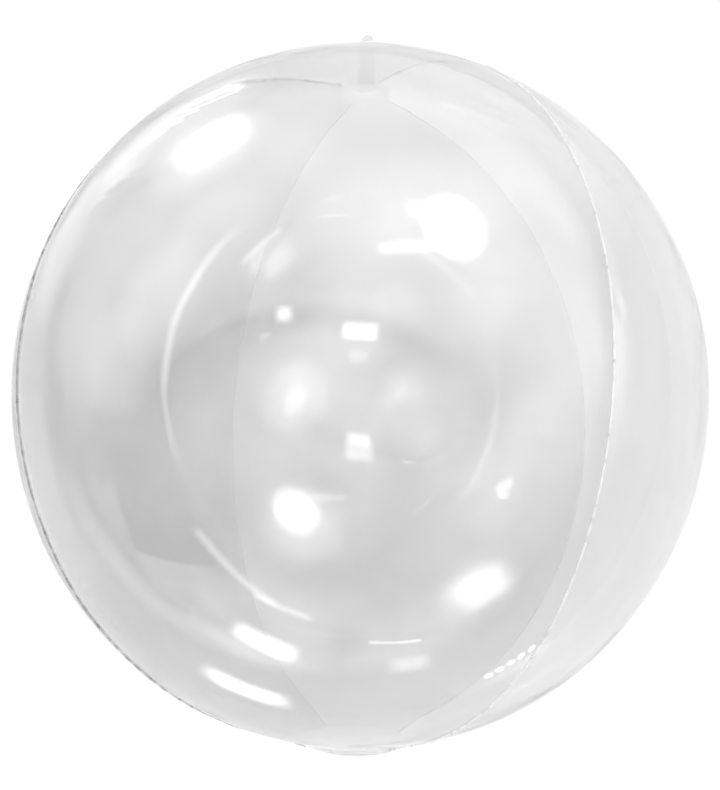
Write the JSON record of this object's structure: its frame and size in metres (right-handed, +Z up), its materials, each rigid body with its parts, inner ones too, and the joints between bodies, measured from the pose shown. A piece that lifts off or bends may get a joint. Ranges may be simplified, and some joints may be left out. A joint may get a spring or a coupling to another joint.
{
  "type": "clear bubble balloon",
  "caption": "Sealed globe-shaped balloon of clear film with welded gores, a gathered filling neck at one end and a small hang tab at the other, lying loose.",
  "frame": {"origin": "middle of the small flat that the loose balloon rests on, under the middle of the back gore", "axes": "+Z up through the middle of the front gore, +Y along the globe's own axis towards the hang tab, the filling neck at -Y, +X towards the middle of the right gore"},
  "size_m": [0.3802, 0.4372, 0.3788],
  "materials": {
    "clear_film": "clear glossy plastic film, faintly grey, thin and blown tight",
    "neck_film": "clear glossy plastic film gathered in fine pleats and welded",
    "tab_film": "two layers of clear plastic film welded flat"
  },
  "bodies": {
    "root": {"front_panel": "clear_film", "right_panel": "clear_film", "back_panel": "clear_film", "left_panel": "clear_film", "filling_neck": "neck_film", "hang_tab": "tab_film"}
  },
  "joints": []
}
